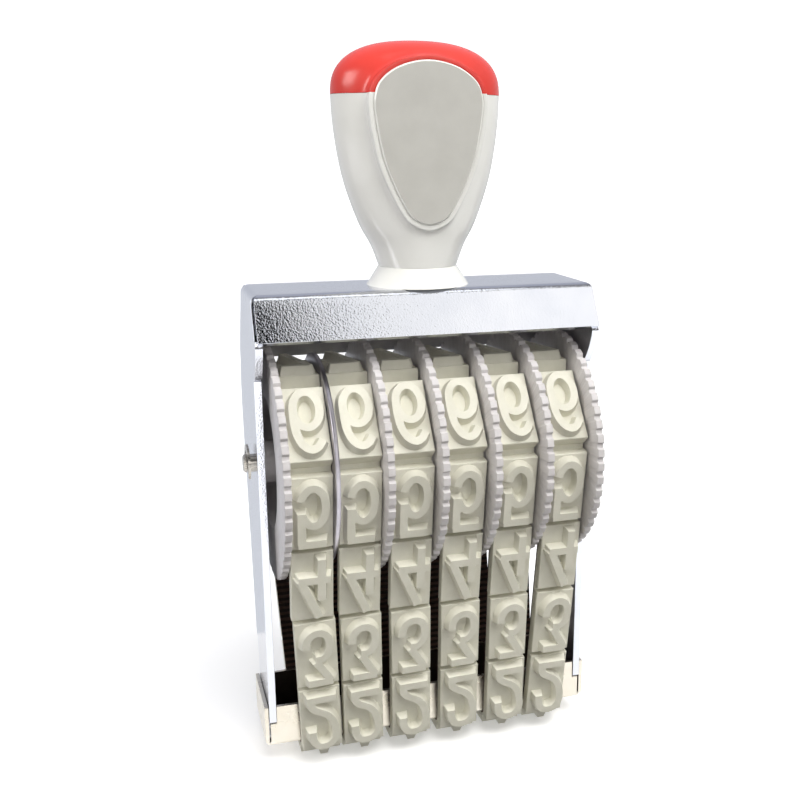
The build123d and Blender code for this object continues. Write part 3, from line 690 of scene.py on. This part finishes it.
def off_stroke(points, line):
    """Distance of points (n, 2) from a stroke's middle line. Its two free ends are cut square: past
    them the distance is at least the stroke's half width plus the overshoot."""
    start, run = line[:-1], np.diff(line, axis=0)
    length = np.hypot(*run.T)
    away = points[:, None] - start
    along = (away * run).sum(-1) / length
    side = (away[..., 0] * run[:, 1] - away[..., 1] * run[:, 0]) / length
    over = np.maximum(np.maximum(-along, along - length), 0)
    distance = np.hypot(side, over).min(1)
    if np.allclose(line[0], line[-1]):
        return distance
    for past, end in ((-along[:, 0], line[0]), (along[:, -1] - length[-1], line[-1])):
        near = np.hypot(*(points - end).T) < 3 * HALF_TOP
        distance = np.where(near & (past > 0), np.maximum(distance, HALF_TOP + past), distance)
    return distance


def off_numeral(u, v, digit):
    """Distance of pad points from the digit's nearest stroke. The numeral stands on its head on the
    pad, and a plain pad counts as far from any stroke."""
    if digit is None:
        return np.full(u.shape, FAR)
    upright = np.stack([u, -v], -1).reshape(-1, 2)
    return np.min([off_stroke(upright, line) for line in NUMERALS[digit]], axis=0).reshape(u.shape)


def pad_edges(half):
    """Lines across a pad: wall foot, wall top, edge, even cells, edge, wall top, wall foot."""
    inner = np.linspace(-half + PAD_EDGE, half - PAD_EDGE, round(2 * half / CELL))
    return np.concatenate([[-half, -half], inner, [half, half]])


def pad_block(n, digit):
    """Pad laid flat as (across, along the loop, height). Height is the pad's top plus a numeral that
    falls from full relief to nothing between the stroke's top and base outlines; points near those
    outlines are moved onto them. Walls go down to the strap, lower where the drum curves away."""
    half = (PITCH - GROOVE) / 2
    u, v = np.meshgrid(pad_edges(BAND_HALF), pad_edges(half))
    drop = np.zeros_like(u)
    drop[1], drop[-2], drop[:, 1], drop[:, -2] = (PAD_EDGE,) * 4
    inside = np.ones_like(u, bool)
    inside[:3], inside[-3:], inside[:, :3], inside[:, -3:] = (False,) * 4
    distance = off_numeral(u, v, digit)
    # points near an outline are moved onto it, down or up the slope of the distance
    for level in (HALF_TOP, HALF_BASE):
        gv, gu = np.gradient(distance, 1.0)
        steep = np.hypot(gu, gv) + 1e-9
        move = np.where(inside & (np.abs(distance - level) < 0.5 * CELL), level - distance, 0)
        u = u + move * gu / steep
        v = v + move * gv / steep
        distance = off_numeral(u, v, digit)
    share = np.clip((HALF_BASE - distance) / (HALF_BASE - HALF_TOP), 0, 1)
    height = PAD_TOP - drop + RELIEF * share
    # feet of the walls, by how far past the start of the drum they stand
    reach = min(n, BLOCKS - n) * PITCH
    sense = 1 if n <= BLOCKS / 2 else -1
    past = np.abs(v) if reach > S_DRUM else np.clip(reach + sense * v - S_DRUM, 0, None)
    bulge = WRAP_R + STRAP
    foot = PAD_ROOT + np.sqrt(bulge**2 - np.minimum(past, bulge) ** 2) - bulge
    edge = np.zeros_like(inside)
    edge[0], edge[-1], edge[:, 0], edge[:, -1] = (True,) * 4
    return np.stack([u, n * PITCH + v, np.where(edge, foot, height)], -1)


def flat_pads():
    """All twelve pads in one mesh, each closed below by strips from wall to wall."""
    blocks = [pad_block(n, (n + 1) % 10 if n < 10 else None) for n in range(BLOCKS)]
    rows, columns = blocks[0].shape[:2]
    quads, ends = [], []
    for k in range(BLOCKS):
        n = np.arange(rows * columns).reshape(rows, columns) + k * rows * columns
        quads.append(np.stack([n[:-1, :-1], n[:-1, 1:], n[1:, 1:], n[1:, :-1]], -1).reshape(-1, 4))
        quads.append(np.stack([n[1:-2, 0], n[2:-1, 0], n[2:-1, -1], n[1:-2, -1]], -1))
        ends.append(n[0].tolist() + n[1, ::-columns + 1].tolist())
        ends.append(n[-1, ::-1].tolist() + n[-2, ::columns - 1].tolist())
    mesh = bpy.data.meshes.new("pads laid flat")
    faces = np.concatenate(quads).tolist() + ends
    mesh.from_pydata(np.concatenate([b.reshape(-1, 3) for b in blocks]).tolist(), [], faces)
    return close_up(mesh, WELD_GAP, PAD_SLIVER)


def front_loop(s):
    """Front half of the strap's inner line at length s, as (y, z, t) with t the normal's angle above
    -Y: flat under the bridge, a small arc, a straight run, then an arc on the drum."""
    corner = -math.pi / 2 + (s - CORNER_Y) / (CORNER_R + STRAP / 2)
    drum = -LEAN + (s - S_DRUM) / (WRAP_R + STRAP / 2)
    run = s - S_RUN
    parts = [s < CORNER_Y, s < S_RUN, s < S_DRUM]
    bend_y = -CORNER_Y - CORNER_R * np.cos(corner)
    bend_z = CORNER_Z + CORNER_R * np.sin(corner)
    run_y = -CORNER_Y - CORNER_R * math.cos(LEAN) - run * math.sin(LEAN)
    run_z = CORNER_Z - CORNER_R * math.sin(LEAN) + run * math.cos(LEAN)
    y = np.select(parts, [-s, bend_y, run_y], -WRAP_R * np.cos(drum))
    z = np.select(parts, [0 * s + CORNER_Z - CORNER_R, bend_z, run_z], AXLE_Z + WRAP_R * np.sin(drum))
    t = np.select(parts, [0 * s - math.pi / 2, corner, 0 * s - LEAN], drum)
    return y, z, t


def loop(s):
    """The whole loop: the back half mirrors the front half."""
    s = np.asarray(s, float) % (2 * S_TOP)
    y, z, t = front_loop(np.where(s <= S_TOP, s, 2 * S_TOP - s))
    back = s > S_TOP
    return np.where(back, -y, y), z, np.where(back, math.pi - t, t)


def band_middle(z, room, foot):
    """Middle of the band at height z: straight above the rims, drifting to its place on the bridge."""
    return room + (foot - room) * np.clip((SKEW_Z - z) / (SKEW_Z - CORNER_Z), 0, 1)


def wrap_pads(flat, room, foot):
    """Carries flat pads onto the loop: each block keeps its shape and stands on the plane that
    touches the strap at its middle, turned to follow the band's drift."""
    n = np.round(flat[:, 1] / PITCH)
    y, z, t = loop(n * PITCH)
    along = np.stack([0 * t, np.sin(t), np.cos(t)], -1)
    normal = np.stack([0 * t, -np.cos(t), np.sin(t)], -1)
    drifting = (z < SKEW_Z) & (np.abs(y) > CORNER_Y)
    along[:, 0] = np.where(drifting, np.sign(-y) * (room - foot) / (SKEW_Z - CORNER_Z), 0)
    along /= np.linalg.norm(along, axis=1, keepdims=True)
    across = np.cross(along, normal)
    base = np.stack([band_middle(z, room, foot), y, z], -1)
    u, v, h = flat[:, :1], flat[:, 1:2] - n[:, None] * PITCH, flat[:, 2:]
    return base + across * u + along * v + normal * h


def strap_section(low, high, cut):
    """Closed outline (across, height) of one layer of the strap, with its two upper corners cut."""
    half = BAND_HALF
    outline = [(-half, low), (half, low), (half, high - cut), (half - cut, high)]
    return np.array(outline + [(cut - half, high), (-half, high - cut), (-half, low)])


def strap_mesh(name, outline, room, foot):
    """A layer's outline carried round the whole loop and joined to its own start."""
    u, h = outline.T[:, None]
    bends = [np.linspace(0, CORNER_Y, 4), np.linspace(CORNER_Y, S_RUN, 7)]
    bends += [np.linspace(S_RUN, S_DRUM, 30), np.linspace(S_DRUM, S_TOP, 30)]
    s = np.unique(np.concatenate(bends))
    s = np.concatenate([s, 2 * S_TOP - s[-2::-1]])
    y, z, t = (part[:, None] for part in loop(s))
    y[-1], z[-1], t[-1] = y[0], z[0], t[0]
    return weld(name, [xyz(band_middle(z, room, foot) + u, y - h * np.cos(t), z + h * np.sin(t))])


# unfilled rubber, nearly matt, a pale greenish cream with faint clouds
rubber, tree, shader = new_material(
    "pale moulded rubber", Roughness=0.55, IOR=1.52, Specular_IOR_Level=0.35
)
place = add_node(tree, "ShaderNodeTexCoord").outputs["Object"]
clouds = {"Scale": per_mm(4), "Detail": 6.0, "Roughness": 0.65}
cloud = add_node(tree, "ShaderNodeTexNoise", clouds, {"Vector": place})
skin = add_node(tree, "ShaderNodeTexNoise", {"Scale": per_mm(0.3), "Detail": 3.0}, {"Vector": place})
finish(tree, shader, cloud, ("d7d5c5", "e1dfd1"), relief=(skin, 0.35, 0.04))

# brown cloth with ribs across the band, dark and without shine
lining, tree, shader = new_material("woven brown lining", Roughness=0.85)
place = add_node(tree, "ShaderNodeTexCoord").outputs["Object"]
weave = {"wave_type": "BANDS", "bands_direction": "Z"}
weave |= {"Scale": per_mm(4.5), "Distortion": 1.5, "Detail": 2.0}
ribs = add_node(tree, "ShaderNodeTexWave", weave, {"Vector": place})
finish(tree, shader, ribs, ("2e211b", "5a4338"), relief=(ribs, 0.6, 0.1))

# the lining laps a little way into the rubber, and its faces come last in a band's mesh
rubber_ring = strap_section(LINING, STRAP, STRAP_CUT)
lining_ring = strap_section(0, LINING + LAP, LAP)
pads = flat_pads()
flat = np.empty(len(pads.vertices) * 3, np.float32)
pads.vertices.foreach_get("co", flat)
flat = flat.reshape(-1, 3).astype(float)
for n, (room, foot) in enumerate(zip(BAND_ROOMS, BRIDGE_PLACES), 1):
    wrapped = pads.copy()
    wrapped.vertices.foreach_set("co", (wrap_pads(flat, room, foot) * MM).astype(np.float32).ravel())
    band = strap_mesh(f"band_{n}_rubber", rubber_ring, room, foot)
    inside = strap_mesh("lining", lining_ring, room, foot)
    work = bmesh.new()
    for part in (band, wrapped, inside):
        done = len(work.faces)
        work.from_mesh(part)
    for face in list(work.faces)[done:]:
        face.material_index = 1
    work.to_mesh(band)
    work.free()
    bpy.data.meshes.remove(inside)
    show(band, "frame", [f"band_{n}"], "band_rubber", rubber, lining, crease=28)
    bpy.data.meshes.remove(wrapped)
bpy.data.meshes.remove(pads)

# ------------------------------------------------------------------ handle
# Two glossy injection mouldings that meet in a level seam: a white grip, round at the neck and oval
# higher up, and a red cap. Front and back swell into a flat pear-shaped boss with a raised border.
SEAM_Z = 148.6
SEAM_GAP = 0.04
APEX_Z = 159.6
HANDLE_A = 18.5
HANDLE_B = 10.1
DOME_POWER = 2.5
BOSS_Y = 10.6
BOSS_INSET = 0.12
BORDER_W = 1.1
BORDER_ROOT_Y = 6.2
PANEL_Y = 11.0
PANEL_GAP = 0.12
PANEL_CHAMFER = 0.3

# the grip's height, half width and half depth; the boss's outline as (x, z)
GRIP = ((112.5, 8.65, 8.65), (117.0, 10.4, 9.3), (121.8, 13.0, 9.8), (129.5, 15.8, 10.0))
GRIP += ((136.1, 17.3, 10.1), (142.9, 18.2, 10.1), (SEAM_Z, HANDLE_A, HANDLE_B))
PEAR_RIGHT = ((6.0, 153.9), (10.2, 151.0), (11.6, 147.4), (11.4, 143.6), (10.9, 140.4))
PEAR_RIGHT += ((9.8, 135.4), (8.0, 130.6), (5.4, 125.5), (3.3, 122.9))
PEAR_TOP = (0.0, 155.1)
PEAR_TIP = (0.0, 121.8)

# how softly boss and grip flow together, and how far inside its border's foot the boss's wall stands
BLEND = 0.45
TUCK = 0.05
HALVINGS = 22
ACROSS_STEPS = 76


def outwards(line):
    """Unit normals of a closed clockwise line, square to the chord between each point's neighbours."""
    along = np.roll(line, -1, 0) - np.roll(line, 1, 0)
    return np.stack([-along[:, 1], along[:, 0]], -1) / np.linalg.norm(along, axis=1, keepdims=True)


def pear_line(grow=0.0, steps=12):
    """Closed outline of the boss in (x, z), clockwise from the top: a periodic Catmull-Rom curve
    through the points of one side and their mirror image, moved outwards along its normals."""
    right = np.array(PEAR_RIGHT)
    p = np.vstack([[PEAR_TOP], right, [PEAR_TIP], right[::-1] * (-1, 1)])
    t = np.linspace(0, 1, steps, endpoint=False)[:, None]
    line = stretch(*(np.roll(p, k, 0)[:, None] for k in (1, 0, -1, -2)), t).reshape(-1, 2)
    return line + grow * outwards(line)


def off_pear(x, z):
    """Signed distance of points from the outline's sides, negative where a ray along +X crosses the
    outline an odd number of times."""
    start = pear_line(steps=6)
    end = np.roll(start, -1, 0)
    run = end - start
    away = np.stack([x, z], -1)[:, None] - start
    t = np.clip((away * run).sum(-1) / (run**2).sum(-1), 0, 1)
    distance = np.linalg.norm(away - t[..., None] * run, axis=-1).min(1)
    spans = (start[:, 1] > z[:, None]) != (end[:, 1] > z[:, None])
    rise = np.where(run[:, 1] == 0, 1e-9, run[:, 1])
    cross = start[:, 0] + (z[:, None] - start[:, 1]) / rise * run[:, 0]
    inside = (spans & (cross > x[:, None])).sum(1) % 2 == 1
    return np.where(inside, -distance, distance)


def handle_skin(z):
    """Rows of the handle at heights z. On each ray from the middle line the radius is where the smooth
    union of the oval section and the boss changes sign, found by halving an interval."""
    grip = np.array(GRIP)
    a = np.interp(z, *bent(*grip[:, :2], steps=12).T)
    b = np.interp(z, *bent(*grip[:, ::2], steps=12).T)
    rise = np.clip((z - SEAM_Z) / (APEX_Z - SEAM_Z), 0, 1)
    shrink = (1 - rise**DOME_POWER) ** (1 / DOME_POWER)
    a = np.where(z > SEAM_Z, HANDLE_A * shrink, a)[:, None]
    b = np.where(z > SEAM_Z, HANDLE_B * shrink, b)[:, None]
    t = np.linspace(0, math.pi / 2, ACROSS_STEPS)[None]
    oval = 1 / np.sqrt((np.cos(t) / a) ** 2 + (np.sin(t) / b) ** 2)
    low, high = 0.3 * oval, 1.9 * oval + 0.5
    for _ in range(HALVINGS):
        r = (low + high) / 2
        x, y = r * np.cos(t), r * np.sin(t)
        q = r / oval
        section = (q - 1) * q / np.hypot(x / a**2, y / b**2)
        side = off_pear(x.ravel(), np.repeat(z, t.size)).reshape(x.shape) - BORDER_W + TUCK
        boss = np.maximum(side, y - BOSS_Y + BOSS_INSET)
        section, boss = (np.clip(part, -30, 30) / BLEND for part in (section, boss))
        value = -BLEND * np.logaddexp(-section, -boss)
        low, high = np.where(value < 0, r, low), np.where(value < 0, high, r)
    x, y = r * np.cos(t), r * np.sin(t)
    x = np.hstack([x, -x[:, -2::-1], -x[:, 1:], x[:, -2::-1]])
    y = np.hstack([y, y[:, -2::-1], -y[:, 1:], -y[:, -2::-1]])
    return x, y


def closed_rows(z):
    """The handle's rows, with a level lid at the top and at the bottom that runs in to its middle."""
    x, y = handle_skin(z)
    middle = x[:1] * 0
    x = np.vstack([middle, x, middle])
    y = np.vstack([middle, y, middle])
    return xyz(x, y, np.concatenate([z[:1], z, z[-1:]])[:, None])


def border(side, above):
    """Raised border of the boss: a small rounded section (offset, depth) carried along the part of
    the outline above or below the seam, its ends closed."""
    line = pear_line()
    crossing = np.abs(line[:, 1] - SEAM_Z)
    right = np.argmin(np.where(line[:, 0] > 0, crossing, np.inf))
    left = np.argmin(np.where(line[:, 0] < 0, crossing, np.inf))
    line[[right, left], 1] = SEAM_Z
    outward = outwards(line)
    outward[[right, left]] = ((1, 0), (-1, 0))
    part = np.arange(left, right + len(line) + 1) % len(line) if above else np.arange(right, left + 1)
    corners = [(PANEL_GAP, BORDER_ROOT_Y), (PANEL_GAP, BOSS_Y)]
    corners += [(BORDER_W, BOSS_Y), (BORDER_W + TUCK, BORDER_ROOT_Y)]
    section = rounded(corners, (0.05, 0.14, 0.3, 0.05), 4)
    section = np.vstack([section, section[:1]])
    middle = section.mean(0)
    section = section[None] * np.ones((len(part), 1, 1))
    lid = section[:1] * 0 + middle
    section = np.concatenate([lid, section, lid])
    part = np.concatenate([part[:1], part, part[-1:]])
    place = line[part][:, None] + outward[part][:, None] * section[..., :1]
    return xyz(place[..., 0], side * section[..., 1], place[..., 1])


# polished ABS: a clear gloss, a faint cloudiness in the colour, a very slight waviness of the skin
coats = []
for name, tints, roughness in (
    ("white polished ABS", ("ebebe6", "f1f1ed"), 0.12),
    ("red polished ABS", ("d83e36", "e0463d"), 0.25),
):
    material, tree, shader = new_material(name, Roughness=roughness, IOR=1.5)
    place = add_node(tree, "ShaderNodeTexCoord").outputs["Object"]
    cloud = add_node(tree, "ShaderNodeTexNoise", {"Scale": per_mm(9), "Detail": 4.0}, {"Vector": place})
    skin = add_node(tree, "ShaderNodeTexNoise", {"Scale": per_mm(1.2), "Detail": 2.0}, {"Vector": place})
    finish(tree, shader, cloud, tints, relief=(skin, 0.15, 0.02))
    coats.append(material)
white_abs, red_abs = coats

grip_z = np.linspace(GRIP[0][0], SEAM_Z - SEAM_GAP, 110)
grids = [closed_rows(grip_z), border(-1, False), border(1, False)]
show(weld("handle_grip", grids), "frame", ["handle_body"], "white_plastic", white_abs, crease=40)
turn = np.linspace(0, math.pi / 2, 100)[:-1]
cap_z = SEAM_Z + SEAM_GAP + (APEX_Z - SEAM_Z - SEAM_GAP) * np.sin(turn)
grids = [closed_rows(cap_z), border(-1, True), border(1, True)]
show(weld("handle_top", grids), "frame", ["handle_cap"], "red_plastic", red_abs, crease=40)
coat_node("collar", white_abs)

# ------------------------------------------------------------------ panels
# A thin grey plate let into the boss on each side, matt from a fine etched mould, with a polished
# white bevel round it. Both are left plain.
PANEL_T = 1.5
PANEL_MIDDLE = (0.0, 140.0)


def panel_plate(side):
    """Plate rows from the middle of its face, out over the bevel and back along its side."""
    middle = np.array(PANEL_MIDDLE)
    face = pear_line(-PANEL_CHAMFER)
    edge = pear_line()
    shares = np.array([0, 0.35, 0.7, 0.9, 1])[:, None, None]
    rows = list(middle + (face - middle) * shares) + [edge, edge, middle + 0 * edge]
    depth = [PANEL_Y] * 5 + [PANEL_Y - PANEL_CHAMFER] + [PANEL_Y - PANEL_T] * 2
    rows = np.concatenate([np.array(rows), np.array(rows)[:, :1]], 1)
    return xyz(rows[..., 0], side * np.array(depth)[:, None], rows[..., 1])


# etched ABS: neutral grey, and matt because the fine grain scatters the light
panel_grey, tree, shader = new_material("etched grey ABS", Roughness=0.5, IOR=1.5)
place = add_node(tree, "ShaderNodeTexCoord").outputs["Object"]
cloud = add_node(tree, "ShaderNodeTexNoise", {"Scale": per_mm(5), "Detail": 5.0}, {"Vector": place})
etch = add_node(tree, "ShaderNodeTexNoise", {"Scale": per_mm(0.25), "Detail": 3.0}, {"Vector": place})
finish(tree, shader, cloud, ("bdbcb6", "c4c3bd"), relief=(etch, 0.5, 0.03))

# only the bevel's faces lean between the face, square to Y, and the side, along it
for side, node in ((-1, "panel_front"), (1, "panel_back")):
    plate = weld(f"{node}_plate", [panel_plate(side)])
    show(plate, "frame", [node], "grey_plastic", panel_grey, white_abs, crease=25)
    normals = np.empty(len(plate.polygons) * 3, np.float32)
    plate.polygons.foreach_get("normal", normals)
    lean = np.abs(normals[1::3])
    plate.polygons.foreach_set("material_index", ((lean > 0.3) & (lean < 0.9)).astype(np.int32))
